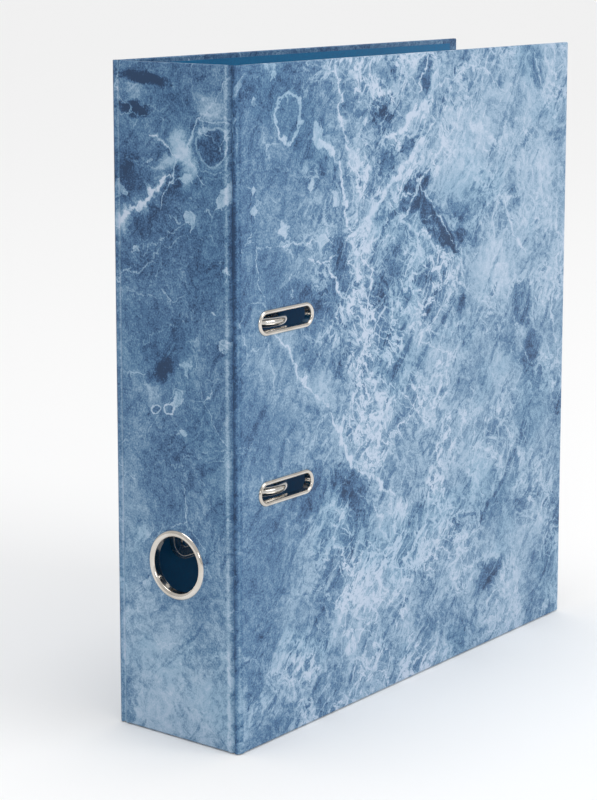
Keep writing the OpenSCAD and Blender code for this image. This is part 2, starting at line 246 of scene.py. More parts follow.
# Soft patches of tone: centre s, t; half sizes; turn in degrees; how much lighter; how soft its edge is
PATCHES = [
    ((-55, 311), (17, 3.5), -6, -0.42, 0.6), ((-63, 296), (9, 3.5), 6, -0.42, 0.6),
    ((-63, 306), (5, 5), 0, 0.34, 0.9), ((-17, 301), (9, 7), -30, 0.26, 0.7),
    ((-45, 255), (34, 8), 35, -0.16, 0.5), ((-64, 262), (14, 16), 0, -0.14, 0.8),
    ((-47, 177), (12, 4), 20, -0.30, 0.6), ((-53, 168), (5, 6), 0, 0.22, 0.8),
    ((-34, 279), (4.5, 9), 25, 0.52, 0.7), ((-30, 268), (3.5, 8), -20, 0.46, 0.6),
    ((-41, 272), (8, 3), 30, 0.40, 0.6), ((-72, 244), (4, 6), 0, 0.34, 0.9),
    ((-55, 228), (30, 14), 12, -0.10, 1.0), ((-16, 282), (9, 9), 0, -0.22, 0.45),
    ((-60, 95), (20, 40), 0, 0.06, 1.0), ((30, 270), (26, 46), 0, 0.05, 1.0),
    ((35, 110), (42, 100), 0, 0.10, 1.0), ((61, 283), (7, 7), 20, 0.42, 0.2),
    ((69, 252), (5, 4), -30, 0.40, 0.15), ((34, 243), (3.5, 7), 12, 0.40, 0.15),
    ((51, 260), (2.5, 4.5), 0, 0.36, 0.15), ((28, 311), (3, 2.5), 30, 0.38, 0.15),
    ((13, 261), (2.5, 3), 0, 0.40, 0.15), ((15, 252), (2.5, 2.5), 0, 0.34, 0.2),
    ((62, 233), (6, 4), -10, 0.34, 0.2), ((81, 193), (3.5, 3.5), 0, 0.38, 0.15),
    ((1, 306), (3, 5), -30, 0.26, 0.2), ((36, 188), (12, 9), -20, 0.20, 0.9),
    ((60, 164), (14, 8), -20, 0.24, 0.6), ((54, 205), (20, 8), -12, -0.08, 0.9),
    ((15, 175), (20, 30), 0, 0.05, 1.0), ((88, 168), (26, 12), -38, -0.14, 0.8),
    ((88, 108), (22, 13), -30, -0.28, 0.7), ((60, 112), (24, 18), 0, -0.10, 1.0),
    ((106, 92), (8, 15), 30, 0.20, 0.8), ((100, 45), (50, 34), 0, 0.08, 1.0),
    ((112, 290), (14, 14), 0, -0.20, 0.8), ((146, 304), (7, 11), -20, -0.34, 0.6),
    ((133, 273), (11, 5.5), 30, -0.36, 0.3), ((136, 249), (27, 10), 28, -0.34, 0.4),
    ((112, 262), (14, 10), 30, -0.22, 0.7), ((158, 232), (30, 12), -42, -0.34, 0.4),
    ((168, 226), (26, 7), -46, -0.18, 0.4), ((150, 250), (14, 7), -30, -0.18, 0.4),
    ((181, 228), (6, 5), 0, -0.24, 0.4), ((176, 240), (9, 8), 0, -0.20, 0.7),
    ((115, 205), (22, 9), 10, -0.22, 0.7), ((181, 190), (5, 6), -20, -0.30, 0.5),
    ((170, 262), (28, 22), 12, 0.22, 0.9), ((188, 297), (33, 10), 8, -0.17, 0.25),
    ((251, 305), (10, 9), 30, -0.20, 0.5), ((276, 271), (7, 10), 0, -0.22, 0.5),
    ((230, 240), (6, 6), 0, -0.22, 0.6), ((240, 262), (50, 30), 0, 0.08, 1.0),
    ((262, 216), (20, 26), 0, -0.06, 0.9), ((210, 205), (24, 12), -20, 0.12, 0.9),
    ((238, 181), (18, 13), -45, -0.30, 0.4), ((247, 155), (9, 22), -20, -0.22, 0.6),
    ((226, 160), (10, 8), 0, -0.14, 0.8), ((272, 205), (8, 26), 0, -0.08, 0.8),
    ((150, 120), (48, 46), 0, 0.04, 1.0), ((195, 72), (26, 9), 10, -0.18, 0.7),
    ((209, 37), (18, 9), 28, -0.26, 0.4), ((60, 38), (12, 22), -10, -0.16, 0.6),
    ((240, 30), (40, 20), 0, -0.05, 1.0), ((272, 50), (12, 45), 0, -0.18, 1.0),
    ((-38, 20), (46, 60), 0, 0.26, 1.0), ((-66, 120), (16, 90), 0, 0.12, 1.0),
    ((74, 212), (15, 46), 0, -0.17, 1.0), ((140, 64), (52, 34), 0, -0.10, 1.0),
]

SHARD = 0.4                 # patches no softer than this are diamond shards, the others ellipses

# Round bubbles frozen in: centre s, t; radius; share of it that the line takes; how much lighter
BUBBLES = [
    ((-16, 282), 9.5, 0.10, 0.28), ((-16, 282), 13.0, 0.05, 0.20), ((-16, 282), 16.0, 0.05, 0.12),
    ((-42, 161), 3.2, 0.28, 0.50), ((-50, 160), 2.2, 0.32, 0.45), ((39, 294), 9.0, 0.12, 0.42),
]

# Long cracks: start s, t; direction in degrees; length; width; wander; brightness
CRACKS = [
    ((-76, 240), 35, 47, 5.4, 3, 1.00), ((-34, 276), 62, 24, 1.2, 3, 0.80),
    ((-34, 276), -44, 20, 1.2, 3, 0.75), ((-34, 276), 150, 22, 1.4, 3, 0.80),
    ((-34, 276), -112, 30, 1.2, 3, 0.70), ((-74, 214), 38, 62, 1.1, 7, 0.50),
    ((-66, 231), 12, 56, 0.9, 6, 0.40), ((-70, 180), 28, 60, 0.8, 6, 0.35),
    ((-72, 213), -10, 34, 0.8, 3, 0.38), ((-76, 300), -4, 40, 0.8, 5, 0.30),
    ((-74, 272), -6, 44, 0.8, 5, 0.30), ((-50, 127), 18, 54, 0.9, 6, 0.38),
    ((-25, 142), 6, 40, 0.8, 5, 0.38), ((-26, 140), -72, 30, 0.8, 5, 0.38),
    ((-22, 66), -38, 60, 1.0, 5, 0.35), ((-2, 282), -62, 34, 0.8, 4, 0.35),
    ((30, 234), -4, 36, 2.3, 6, 0.75), ((36, 250), -82, 42, 1.8, 8, 0.55),
    ((48, 224), -3, 26, 2.0, 6, 0.85), ((62, 222), -42, 66, 2.9, 6, 1.00),
    ((80, 214), -32, 46, 1.0, 6, 0.50), ((100, 196), -74, 60, 1.8, 8, 0.50),
    ((22, 195), -42, 62, 2.9, 6, 0.90), ((66, 152), -52, 46, 5.2, 6, 1.00),
    ((92, 120), -38, 38, 4.1, 6, 0.90), ((101, 100), -52, 30, 3.8, 5, 0.80),
    ((62, 290), -66, 66, 5.4, 8, 1.00), ((70, 318), -72, 80, 4.2, 9, 0.90),
    ((84, 232), 76, 80, 3.2, 10, 0.70), ((78, 226), 36, 96, 7.8, 3, 1.00),
    ((86, 226), 26, 70, 3.5, 5, 0.75), ((112, 276), 22, 46, 8.4, 4, 0.95),
    ((118, 244), -34, 70, 3.8, 6, 0.80), ((126, 236), 44, 44, 2.9, 4, 0.80),
    ((136, 262), -46, 60, 2.0, 3, 0.75), ((100, 300), -84, 70, 2.2, 12, 0.55),
    ((120, 318), -104, 96, 1.8, 9, 0.55), ((135, 286), 62, 34, 2.2, 4, 0.85),
    ((146, 284), 66, 34, 1.7, 3, 0.75), ((150, 297), 16, 52, 1.7, 2, 0.85),
    ((182, 316), -28, 44, 1.7, 3, 0.80), ((206, 296), -2, 76, 0.9, 3, 0.45),
    ((246, 314), -62, 34, 2.2, 4, 0.75), ((226, 292), 52, 30, 1.2, 3, 0.50),
    ((215, 240), -52, 46, 3.2, 4, 0.80), ((238, 216), 62, 30, 1.6, 4, 0.55),
    ((222, 232), 44, 40, 1.6, 5, 0.50), ((227, 190), -64, 60, 1.6, 6, 0.55),
    ((271, 240), -88, 90, 3.8, 6, 0.75), ((66, 60), -80, 34, 1.4, 6, 0.40),
    ((8, 62), -64, 60, 1.0, 5, 0.35), ((170, 60), 20, 60, 1.4, 6, 0.40),
]


def patch_tones(t, where):
    """The sum of the soft patches."""
    total = None
    for (s, height), (half_s, half_t), turn, amount, softness in PATCHES:
        x, y = t.local(where, (s / UNIT, height / UNIT), turn, (half_s / UNIT, half_t / UNIT))
        if softness <= SHARD:
            reach = t.add(t.math("ABSOLUTE", x), t.math("ABSOLUTE", y))
        else:
            reach = t.length(x, y)
        value = t.step(reach, 1.0 - softness * 0.9, 1.0 + softness * 0.45, amount, 0.0)
        total = value if total is None else t.add(total, value)
    for (s, height), radius, line, amount in BUBBLES:
        reach = t.length(*t.local(where, (s / UNIT, height / UNIT), 0, (radius / UNIT, radius / UNIT)))
        total = t.add(total, t.step(t.math("ABSOLUTE", t.sub(reach, 1.0)), line * 0.3, line, amount, 0.0))
    return total


def strokes(t, where, turn, size, seed, low=0.59, high=0.65, distortion=0.5):
    """Long strokes along a direction, of size (length, width)."""
    field = t.noise(t.flat(where, seed, turn, size), 1.0, 4.0, 0.60, distortion=distortion).outputs[0]
    return t.step(field, low, high)


def shards(t, where, turn, size, seed, width):
    """Long plates of ice of size (length, width): their edges, and a tone for each plate."""
    place = t.flat(where, seed, turn, size)
    edge, plate = [t.node("ShaderNodeTexVoronoi", {"Vector": place, "Scale": 1.0}, voronoi_dimensions="2D",
                          feature=feature).outputs[output]
                   for feature, output in (("DISTANCE_TO_EDGE", "Distance"), ("F1", "Color"))]
    line = t.highest(t.step(edge, width * 0.3, width, 1.0, 0.0), t.step(edge, 0.0, width * 4, 0.30, 0.0))
    return line, t.sub(plate, 0.5)


def veins(t, where, scale, turn, stretch, width, seed):
    """Wandering veins: sharp at the core, in a soft haze, and stretched along a direction."""
    field = t.noise(t.flat(where, seed, turn, (stretch / scale, 1 / scale)), 1.0, 7.0, 0.62).outputs[0]
    off = t.math("ABSOLUTE", t.sub(field, 0.5))
    return t.highest(t.step(off, width * 0.2, width, 1.0, 0.0), t.step(off, 0.0, width * 5, 0.34, 0.0))


def crack_group():
    """One wandering crack: 1 on its line, 0 away from it."""
    group = bpy.data.node_groups.new("crack", "ShaderNodeTree")
    for name in ("Where", "Along", "Across", "Length", "Width", "Wander", "Seed"):
        kind = "NodeSocketVector" if name in ("Where", "Along", "Across") else "NodeSocketFloat"
        group.interface.new_socket(name, in_out="INPUT", socket_type=kind)
    group.interface.new_socket("Line", in_out="OUTPUT", socket_type="NodeSocketFloat")
    t = Tree(group)
    given = group.nodes.new("NodeGroupInput").outputs
    result = group.nodes.new("NodeGroupOutput")
    along = t.vector("DOT_PRODUCT", given["Where"], given["Along"])
    across = t.vector("DOT_PRODUCT", given["Where"], given["Across"])
    wave = t.waves(t.add(along, given["Seed"]), 5.0, 7.0, 0.66)
    swell = t.waves(t.add(along, t.mul(given["Seed"], 1.7)), 9.0, 3.0)
    off = t.math("ABSOLUTE", t.add(across, t.mul(t.sub(wave, 0.5), given["Wander"])))
    ends = t.math("MINIMUM", along, t.sub(given["Length"], along))
    taper = t.step(ends, 0.0, t.mul(given["Length"], 0.2))
    width = t.mul(t.mul(given["Width"], t.step(swell, 0.3, 0.7, 0.45, 1.5)), taper)
    line = t.step(off, t.mul(width, 0.15), t.add(width, 0.0006), 1.0, 0.0)
    haze = t.step(off, 0.0, t.mul(width, 3.2), 0.45, 0.0)
    inside = t.math("GREATER_THAN", ends, 0.0)
    t.tree.links.new(t.mul(t.highest(line, haze), inside), result.inputs["Line"])
    return group


def crack_lines(t, where):
    """The brightest of the long cracks."""
    group = crack_group()
    lines = []
    for index, ((s, height), turn, length, width, wander, brightness) in enumerate(CRACKS):
        made = t.node("ShaderNodeGroup", node_tree=group)
        along, across = axes((s / UNIT, height / UNIT), turn)
        t.tree.links.new(where, made.inputs["Where"])
        for name, value in (("Along", along), ("Across", across), ("Length", length / UNIT),
                            ("Width", width * 0.5 / UNIT), ("Wander", wander * 2 / UNIT),
                            ("Seed", 3.7 * index + 1)):
            made.inputs[name].default_value = value
        lines.append(t.mul(made.outputs["Line"], brightness))
    return t.highest(*lines)


def ice_print():
    """Printed wrap: cracked ice under a satin film."""
    made, t, shader = new_material("ice_print", Roughness=0.42, Specular_IOR_Level=0.3)
    flat = t.node("ShaderNodeUVMap", uv_map="print").outputs[0]
    where = t.vector("ADD", flat, (0, 0, 1))
    s, height, _ = t.node("ShaderNodeSeparateXYZ", (flat,)).outputs

    # Warped coordinates, so that nothing has a ruled edge
    warp = t.shaken(where, t.noise(where, 2.6, 3.0), 0.16)
    rough_warp = t.shaken(warp, t.noise(where, 14.0, 4.0, 0.6), 0.07)

    # Broad tones: dark on the spine and beside it, pale to the right and low down
    right = t.step(s, 0.10, 1.45)
    low = t.step(height, 0.0, 1.25, 1.0, 0.0)
    paleness = t.highest(right, t.mul(low, 0.55))
    patches = patch_tones(t, rough_warp)
    tone = t.add(t.step(paleness, 0.0, 1.0, 0.30, 0.35, kind="LINEAR"), patches)
    tone = t.add(tone, t.step(s, -0.08, 0.02, 0.03, 0.05))
    far_right = t.step(s, 1.2, 2.1)
    tone = t.add(tone, t.mul(far_right, 0.11))
    clouds = t.noise(warp, 3.2, 8.0, 0.62).outputs[0]
    tone = t.add(tone, t.step(clouds, 0.25, 0.75, -0.14, 0.14, kind="LINEAR"))
    mottled = t.noise(rough_warp, 26.0, 5.0, 0.68).outputs[0]
    tone = t.add(tone, t.step(mottled, 0.25, 0.75, -0.13, 0.13, kind="LINEAR"))

    # Plates of ice, each with its own tone and a bright edge
    slight = t.shaken(where, t.noise(where, 5.0, 5.0, 0.6), 0.10)
    edges = []
    fading = t.step(t.noise(where, 6.0, 3.0).outputs[0], 0.40, 0.62, 0.15, 1.0)
    for turn, size, seed, width, share in ((57, (0.62, 0.20), 4.4, 0.040, 0.20),
                                           (-37, (0.50, 0.15), 8.9, 0.045, 0.16),
                                           (84, (0.30, 0.10), 13.6, 0.055, 0.14)):
        line, plate = shards(t, slight, turn, size, seed, width)
        tone = t.add(tone, t.mul(plate, t.mul(t.step(paleness, 0.0, 1.0, 0.35, 1.0), share)))
        edges.append(line)
    edges = t.mul(t.highest(*edges), fading)

    # Frost: strokes and veins at several scales, thick to the right and thin on the left
    frosted = t.step(t.noise(warp, 2.3, 3.0).outputs[0], 0.40, 0.56, 0.45, 1.0)
    cover_only = t.mul(low, t.step(s, -0.1, 0.5, 0.2, 0.5))
    dense = t.mul(frosted, t.step(t.highest(right, cover_only), 0.0, 0.62, 0.18, 1.0))
    dense = t.mul(dense, t.sub(1.0, t.mul(far_right, 0.30)))
    dense = t.mul(dense, t.step(patches, -0.4, -0.05, 0.40, 1.0))
    frost = t.highest(
        t.mul(edges, 0.85),
        t.mul(strokes(t, warp, 61, (0.95, 0.095), 3.1, 0.56, 0.66), 0.56),
        t.mul(strokes(t, warp, -44, (0.80, 0.085), 7.7, 0.58, 0.67), 0.52),
        t.mul(strokes(t, rough_warp, 82, (0.42, 0.036), 17.9, 0.58, 0.64), 0.40),
        t.mul(strokes(t, slight, 38, (0.90, 0.026), 41.3, 0.61, 0.64, 0.0), 0.72),
        t.mul(strokes(t, slight, 66, (0.80, 0.022), 52.9, 0.61, 0.64, 0.0), 0.72),
        t.mul(strokes(t, slight, -24, (0.80, 0.022), 63.4, 0.61, 0.64, 0.0), 0.62),
        veins(t, warp, 3.0, 52, 2.4, 0.034, 3.1),
        veins(t, rough_warp, 4.6, -42, 2.2, 0.036, 9.7),
    )
    frost = t.mul(frost, dense)
    shade = strokes(t, warp, 47, (0.60, 0.06), 31.3, 0.57, 0.66)
    shade = t.mul(shade, t.step(paleness, 0.1, 0.8, 0.10, 0.20))
    tone = t.sub(tone, shade)

    # Cracks between plates of ice
    plates = t.node("ShaderNodeTexVoronoi", {"Vector": rough_warp, "Scale": 4.2, "Randomness": 1.0},
                    voronoi_dimensions="2D", feature="DISTANCE_TO_EDGE").outputs["Distance"]
    plate_line = t.mul(t.step(plates, 0.0, 0.026, 1.0, 0.0), t.step(clouds, 0.45, 0.62, 0.10, 0.55))

    # Torn white flakes
    flake_field = t.noise(rough_warp, 7.5, 4.0, 0.5).outputs[0]
    flakes = t.mul(t.step(flake_field, 0.66, 0.68), t.step(t.noise(where, 2.1, 2.0).outputs[0], 0.45, 0.6))

    lines = t.highest(crack_lines(t, rough_warp), plate_line, frost, t.mul(flakes, 0.55))
    lines = t.math("MINIMUM", t.mul(lines, t.step(mottled, 0.32, 0.60, 0.62, 1.20)), 1.0)
    tone = t.add(tone, t.mul(lines, t.sub(1.00, tone)))

    # Grain: a fine sparkle, strongest in the dark ice
    grain = t.noise(where, 110.0, 3.0, 0.7).outputs[0]
    depth_of_grain = t.step(tone, 0.2, 0.9, 0.34, 0.12, kind="LINEAR")
    tone = t.add(tone, t.mul(t.step(grain, 0.3, 0.7, -0.5, 0.5, kind="LINEAR"), depth_of_grain))

    tone = t.math("MULTIPLY_ADD", tone, 1.14, -0.115)

    # Painted highlight on the ridges along the spine's edges, and painted shade in the grooves and at the
    # front corner beside them, standing in for the light and shadow the embossing catches
    for place, half, amount in ((-6.0, 1.9, 0.26), (-1.8, 2.9, -0.30), (2.6, 1.2, -0.08), (-71.6, 1.2, 0.26),
                                (-74.2, 0.9, -0.20)):
        off = t.math("ABSOLUTE", t.sub(s, place / UNIT))
        tone = t.add(tone, t.step(off, 0.0, half / UNIT, amount, 0.0))

    colour = t.ramp(tone, [
        (0.0, "1b3a5c"), (0.12, "2d5077"), (0.26, "42678e"), (0.40, "587ea0"),
        (0.54, "7695b1"), (0.68, "93aec6"), (0.82, "a2b9cf"), (1.0, "bccadd")])
    # Here and there the ice turns greener or greyer
    hue = t.noise(where, 1.9, 3.0).outputs[0]
    greener = t.mix(1.0, colour, linear("c4e4ee"), "MULTIPLY")
    colour = t.mix(t.step(hue, 0.5, 0.68, 0.0, 0.35), colour, greener)

    # A satin film, faintly embossed
    pores = t.noise(where, 260.0, 2.0, 0.5).outputs[0]
    swell = t.noise(where, 9.0, 2.0).outputs[0]
    gloss = t.step(pores, 0.3, 0.7, 0.33, 0.47, kind="LINEAR")
    normal = t.bump(pores, 0.00006, 0.35, t.bump(swell, 0.0004, 0.25))
    feed(t, shader, Base_Color=colour, Roughness=gloss, Normal=normal)
    return made


# ---- the other materials -------------------------------------------------------


def object_place(t):
    return t.node("ShaderNodeTexCoord").outputs["Object"]


def lining_paper():
    """Teal lining paper with a fine fibre, faintly embossed."""
    made, t, shader = new_material("teal_lining", Roughness=0.5, Specular_IOR_Level=0.35)
    where = object_place(t)
    fibre = t.noise(where, 900.0, 4.0, 0.65, dimensions="3D").outputs[0]
    cloud = t.noise(where, 25.0, 3.0, 0.5, dimensions="3D").outputs[0]
    colour = t.ramp(t.add(t.mul(fibre, 0.75), t.mul(cloud, 0.25)),
                    [(0.25, "0b5c8a"), (0.5, "136c9b"), (0.78, "1f7cab")])
    rough = t.step(fibre, 0.3, 0.7, 0.42, 0.62)
    feed(t, shader, Base_Color=colour, Roughness=rough, Normal=t.bump(fibre, 0.0001, 0.4))
    return made


def greyboard():
    """Pressed greyboard, flecked with fibre."""
    made, t, shader = new_material("greyboard", Roughness=0.85, Specular_IOR_Level=0.2)
    where = object_place(t)
    fleck = t.noise(where, 700.0, 5.0, 0.7, dimensions="3D").outputs[0]
    colour = t.ramp(fleck, [(0.25, "6e675e"), (0.5, "8f877b"), (0.75, "aca393")])
    feed(t, shader, Base_Color=colour, Normal=t.bump(fleck, 0.0002, 0.5))
    return made


def plated(name, dark, light, rough, grain_size, grain=(1, 1, 1)):
    """Nickel plate: a polished metal with a faint grain and cloudy smears."""
    made, t, shader = new_material(name, Metallic=1.0, Roughness=rough)
    where = t.vector("MULTIPLY", object_place(t), grain)
    smear = t.noise(where, 60.0, 4.0, 0.6, dimensions="3D").outputs[0]
    fine = t.noise(where, grain_size, 3.0, 0.6, dimensions="3D").outputs[0]
    colour = t.ramp(smear, [(0.3, dark), (0.7, light)])
    gloss = t.add(t.step(smear, 0.3, 0.7, rough * 0.7, rough * 1.3), t.step(fine, 0.3, 0.7, -0.03, 0.03))
    feed(t, shader, Base_Color=colour, Roughness=gloss, Normal=t.bump(fine, 0.00003, 0.25))
    return made


PRINT = ice_print()
TEAL = lining_paper()
BOARD = greyboard()
NICKEL = plated("nickel", "c9c2b8", "e4dfd8", 0.16, 900.0)
WIRE = plated("bright_wire", "c4c1bb", "e2e0dc", 0.13, 1200.0)
SHEET = plated("plated_sheet", "bdbab4", "dad7d2", 0.30, 1500.0, grain=(1, 1, 0.12))
STEEL = plated("roller_steel", "8c8c8e", "a8a8aa", 0.32, 1800.0, grain=(1, 1, 0.1))

MATERIALS = {
    "ice_print": PRINT, "teal_lining": TEAL, "greyboard": BOARD, "nickel": NICKEL,
    "bright_wire": WIRE, "plated_sheet": SHEET, "roller_steel": STEEL,
}


# ---- mesh helpers ------------------------------------------------------------


def angle_edges(bm, degrees):
    """Smooth faces everywhere, and a sharp line where two faces meet at more than so many degrees."""
    for face in bm.faces:
        face.smooth = True
    for edge in bm.edges:
        edge.smooth = len(edge.link_faces) == 2 and edge.calc_face_angle(0) < math.radians(degrees)


def new_object(name, bm):
    """A new object in the scene from a bmesh in metres."""
    mesh = bpy.data.meshes.new(name)
    bm.to_mesh(mesh)
    bm.free()
    made = bpy.data.objects.new(name, mesh)
    bpy.context.scene.collection.objects.link(made)
    return made


def add_piece(name, bm, slot, smooth=40):
    """A finished piece from a bmesh in metres."""
    bmesh.ops.remove_doubles(bm, verts=bm.verts, dist=1e-7)
    bmesh.ops.recalc_face_normals(bm, faces=bm.faces)
    angle_edges(bm, smooth)
    made = new_object(name, bm)
    made.data.materials.append(MATERIALS[slot])
    return made


def rides(piece, body, *nodes):
    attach(piece, body)
    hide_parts(*nodes)


def apply_modifiers(piece):
    """Gives a piece the mesh that its modifiers make."""
    bpy.context.view_layer.update()
    shown = piece.evaluated_get(bpy.context.evaluated_depsgraph_get())
    mesh = bpy.data.meshes.new_from_object(shown)
    piece.modifiers.clear()
    old = piece.data
    piece.data = mesh
    bpy.data.meshes.remove(old)
    mesh.name = piece.name


def cut(piece, *cutters):
    """Cuts holes in a closed piece and removes the cutters."""
    for cutter in cutters:
        made = piece.modifiers.new("hole", "BOOLEAN")
        made.operation = "DIFFERENCE"
        made.solver = "EXACT"
        made.object = cutter
    apply_modifiers(piece)
    for cutter in cutters:
        mesh = cutter.data
        bpy.data.objects.remove(cutter)
        bpy.data.meshes.remove(mesh)


def arc(cx, cy, r, start, end, steps):
    """Points of a circular arc between two angles in degrees, both ends included."""
    angles = [math.radians(start + (end - start) * i / steps) for i in range(steps + 1)]
    return [(cx + r * math.cos(a), cy + r * math.sin(a)) for a in angles]


def add_rings(bm, rings, joined=True, capped=False):
    """Faces between closed rings of points. joined also joins the last ring to the first."""
    loops = [[bm.verts.new(p) for p in ring] for ring in rings]
    for i in range(len(loops) if joined else len(loops) - 1):
        here, after = loops[i], loops[(i + 1) % len(loops)]
        for j in range(len(here)):
            k = (j + 1) % len(here)
            bm.faces.new((here[j], here[k], after[k], after[j]))
    if capped:
        bm.faces.new(loops[0][::-1])
        bm.faces.new(loops[-1])


def turned(bm, profile, to_point, steps=96):
    """Turns a closed profile of (radius, height) points. to_point takes radius, angle and height."""
    rings = []
    for i in range(steps):
        turn = 2 * math.pi * i / steps
        rings.append([to_point(r, turn, h) for r, h in profile])
    add_rings(bm, rings)


def round_v(u, z):
    """Points about an axis along v through (u, z)."""
    return lambda r, turn, v: at(u + r * math.cos(turn), v, z + r * math.sin(turn))


def stadium(length, r, steps=40):
    """(x, y, outward x, outward y) round a slot with round ends."""
    points = []
    for side in (1, -1):
        for i in range(steps + 1):
            turn = math.radians(-90 + 180 * i / steps)
            x, y = side * math.cos(turn), side * math.sin(turn)
            points.append((side * length / 2 + r * x, r * y, x, y))
    return points


def prism(outline, along):
    """A plain solid for cutting holes: an outline of points carried along a vector."""
    bm = bmesh.new()
    add_rings(bm, [outline, [p + along for p in outline]], joined=False, capped=True)
    bmesh.ops.recalc_face_normals(bm, faces=bm.faces)
    return new_object("cutter", bm)


# ---- printed panels ------------------------------------------------------------

EDGE_ROUND = 0.7


def sheet_uv(bm, width, fore_edge):
    """Unwraps a panel's wrap, given in panel coordinates. The outer face is taken plainly, and
    what is turned over the edges as if it were still flat."""
    layer = bm.loops.layers.uv.new("print")
    for face in bm.faces:
        middle = face.calc_center_median() / MM
        outer = face.normal.y < -0.99
        edges = {"top": HEIGHT - middle.z, "low": middle.z}
        if fore_edge:
            edges["fore"] = width - middle.x
        nearest = min(edges, key=edges.get)
        for loop in face.loops:
            a, d, z = loop.vert.co / MM
            across, up = a, z
            if not outer:
                beyond = d < WRAPPED / 2
                if nearest == "top":
                    up = z + d if beyond else 2 * HEIGHT - z + d
                elif nearest == "low":
                    up = z - d if beyond else -z - d
                else:
                    across = a + d if beyond else 2 * width - a + d
            loop[layer].uv = (across, up)
    return layer


def panel_sheet(start, width, fore_edge):
    """The wrap of one panel as an open sheet, from its joint side at a = start. Panel coordinates
    are a across from the joint, d depth from the outer face, and z."""
    bm = bmesh.new()
    bmesh.ops.create_cube(bm, size=1.0)
    for vert in bm.verts:
        share = vert.co + Vector((0.5, 0.5, 0.5))
        vert.co = Vector((start + share.x * (width - start), share.y * WRAPPED, share.z * HEIGHT)) * MM
    bm.normal_update()
    ends = [f for f in bm.faces if f.normal.x < -0.9 or (f.normal.x > 0.9 and not fore_edge)]
    bmesh.ops.delete(bm, geom=ends, context="FACES")
    inner_end = width - TURN_IN if fore_edge else width
    cuts = [(Vector((0, 0, TURN_IN)), (0, 0, 1)), (Vector((0, 0, HEIGHT - TURN_IN)), (0, 0, 1))]
    if fore_edge:
        cuts.append((Vector((inner_end, 0, 0)), (1, 0, 0)))
    for point, normal in cuts:
        inner = [f for f in bm.faces if f.normal.y > 0.9]
        geom = {x for f in inner for x in (f, *f.edges, *f.verts)}
        bmesh.ops.bisect_plane(bm, geom=list(geom), plane_co=point * MM, plane_no=normal)
        bm.normal_update()
    window = []
    for face in bm.faces:
        middle = face.calc_center_median() / MM
        if face.normal.y > 0.9 and middle.x < inner_end and TURN_IN < middle.z < HEIGHT - TURN_IN:
            window.append(face)
    bmesh.ops.delete(bm, geom=window, context="FACES")
    corners = [e for e in bm.edges if len(e.link_faces) == 2 and e.calc_face_angle(0) > 0.5]
    bmesh.ops.bevel(bm, geom=corners, offset=EDGE_ROUND * MM, segments=5, profile=0.5, affect="EDGES")
    bm.normal_update()
    return bm


def printed_panel(name, start, width, fore_edge, to_frame, to_print):
    """One panel's printed wrap. to_frame takes panel coordinates to the row frame, and to_print
    takes them to s and t."""
    bm = panel_sheet(start, width, fore_edge)
    layer = sheet_uv(bm, width, fore_edge)
    for face in bm.faces:
        for loop in face.loops:
            s, t = to_print(*loop[layer].uv)
            loop[layer].uv = (s / UNIT, t / UNIT)
    for vert in bm.verts:
        vert.co = to_frame(*(vert.co / MM))
    bmesh.ops.recalc_face_normals(bm, faces=bm.faces)
    outer = max(bm.faces, key=lambda f: f.calc_area())
    outward = to_frame(0, -1, 0) - to_frame(0, 0, 0)
    if outer.normal.dot(outward) < 0:
        bmesh.ops.reverse_faces(bm, faces=bm.faces)
    piece = new_object(name, bm)
    thick = piece.modifiers.new("thick", "SOLIDIFY")
    thick.thickness = WRAP * MM
    thick.offset = -1
    thick.use_even_offset = True
    apply_modifiers(piece)
    return piece


def finish_panel(piece, body, node):
    """Gives a cut panel its material and keeps its broad faces flat next to their rounded edges."""
    mesh = piece.data
    mesh.materials.clear()
    mesh.materials.append(PRINT)
    bm = bmesh.new()
    bm.from_mesh(mesh)
    angle_edges(bm, 40)
    bm.to_mesh(mesh)
    bm.free()
    rides(piece, body, node)
    piece.modifiers.new("weighted", "WEIGHTED_NORMAL").keep_sharp = True


SLOT_LO, SLOT_HI = place_of("slot_rim_upper")
LOW_LO, LOW_HI = place_of("slot_rim_lower")
RING_LO, RING_HI = place_of("finger_ring")
BEAD = 2.0                  # width of a slot's rim
BARREL = 0.5                # wall of an eyelet's tube
SLOT_R = (SLOT_HI.z - SLOT_LO.z) / 2 - BEAD
SLOT_RUN = (SLOT_HI.x - SLOT_LO.x) - 2 * BEAD - 2 * SLOT_R
SLOT_U = (SLOT_LO.x + SLOT_HI.x) / 2
SLOTS_Z = [(SLOT_LO.z + SLOT_HI.z) / 2, (LOW_LO.z + LOW_HI.z) / 2]
RING_V = (RING_LO.y + RING_HI.y) / 2
RING_Z = (RING_LO.z + RING_HI.z) / 2
RING_R = 13.5
FLANGE_R = (RING_HI.z - RING_LO.z) / 2
PROUD = -RING_LO.x


def slot_cutter(z):
    outline = [at(SLOT_U + x, DEPTH - 6, z + y) for x, y, _, _ in stadium(SLOT_RUN, SLOT_R + BARREL, 24)]
    return prism(outline, at(0, 12, 0) - at(0, 0, 0))


front = printed_panel(
    "front_cover_print", JOINT_COVER, WIDTH, True,
    lambda a, d, z: at(a, DEPTH - d, z), lambda a, z: (a, z))
cut(front, *[slot_cutter(z) for z in SLOTS_Z])
finish_panel(front, "front_cover", "front_wrap")

back = printed_panel(
    "back_cover_print", JOINT_COVER, WIDTH, True,
    lambda a, d, z: at(a, d, z), lambda a, z: (-DEPTH - a, z))
finish_panel(back, "back_cover", "back_wrap")

spine = printed_panel(
    "spine_print", JOINT_SPINE, DEPTH - JOINT_SPINE, False,
    lambda a, d, z: at(d, a, z), lambda a, z: (a - DEPTH, z))
centre = at(-3, RING_V, RING_Z)
hole = [centre + Vector((0, x, y)) * MM for x, y in arc(0, 0, RING_R + BARREL, 0, 360, 72)[:-1]]
cut(spine, prism(hole, Vector((8 * MM, 0, 0))))
finish_panel(spine, "spine", "spine_wrap")

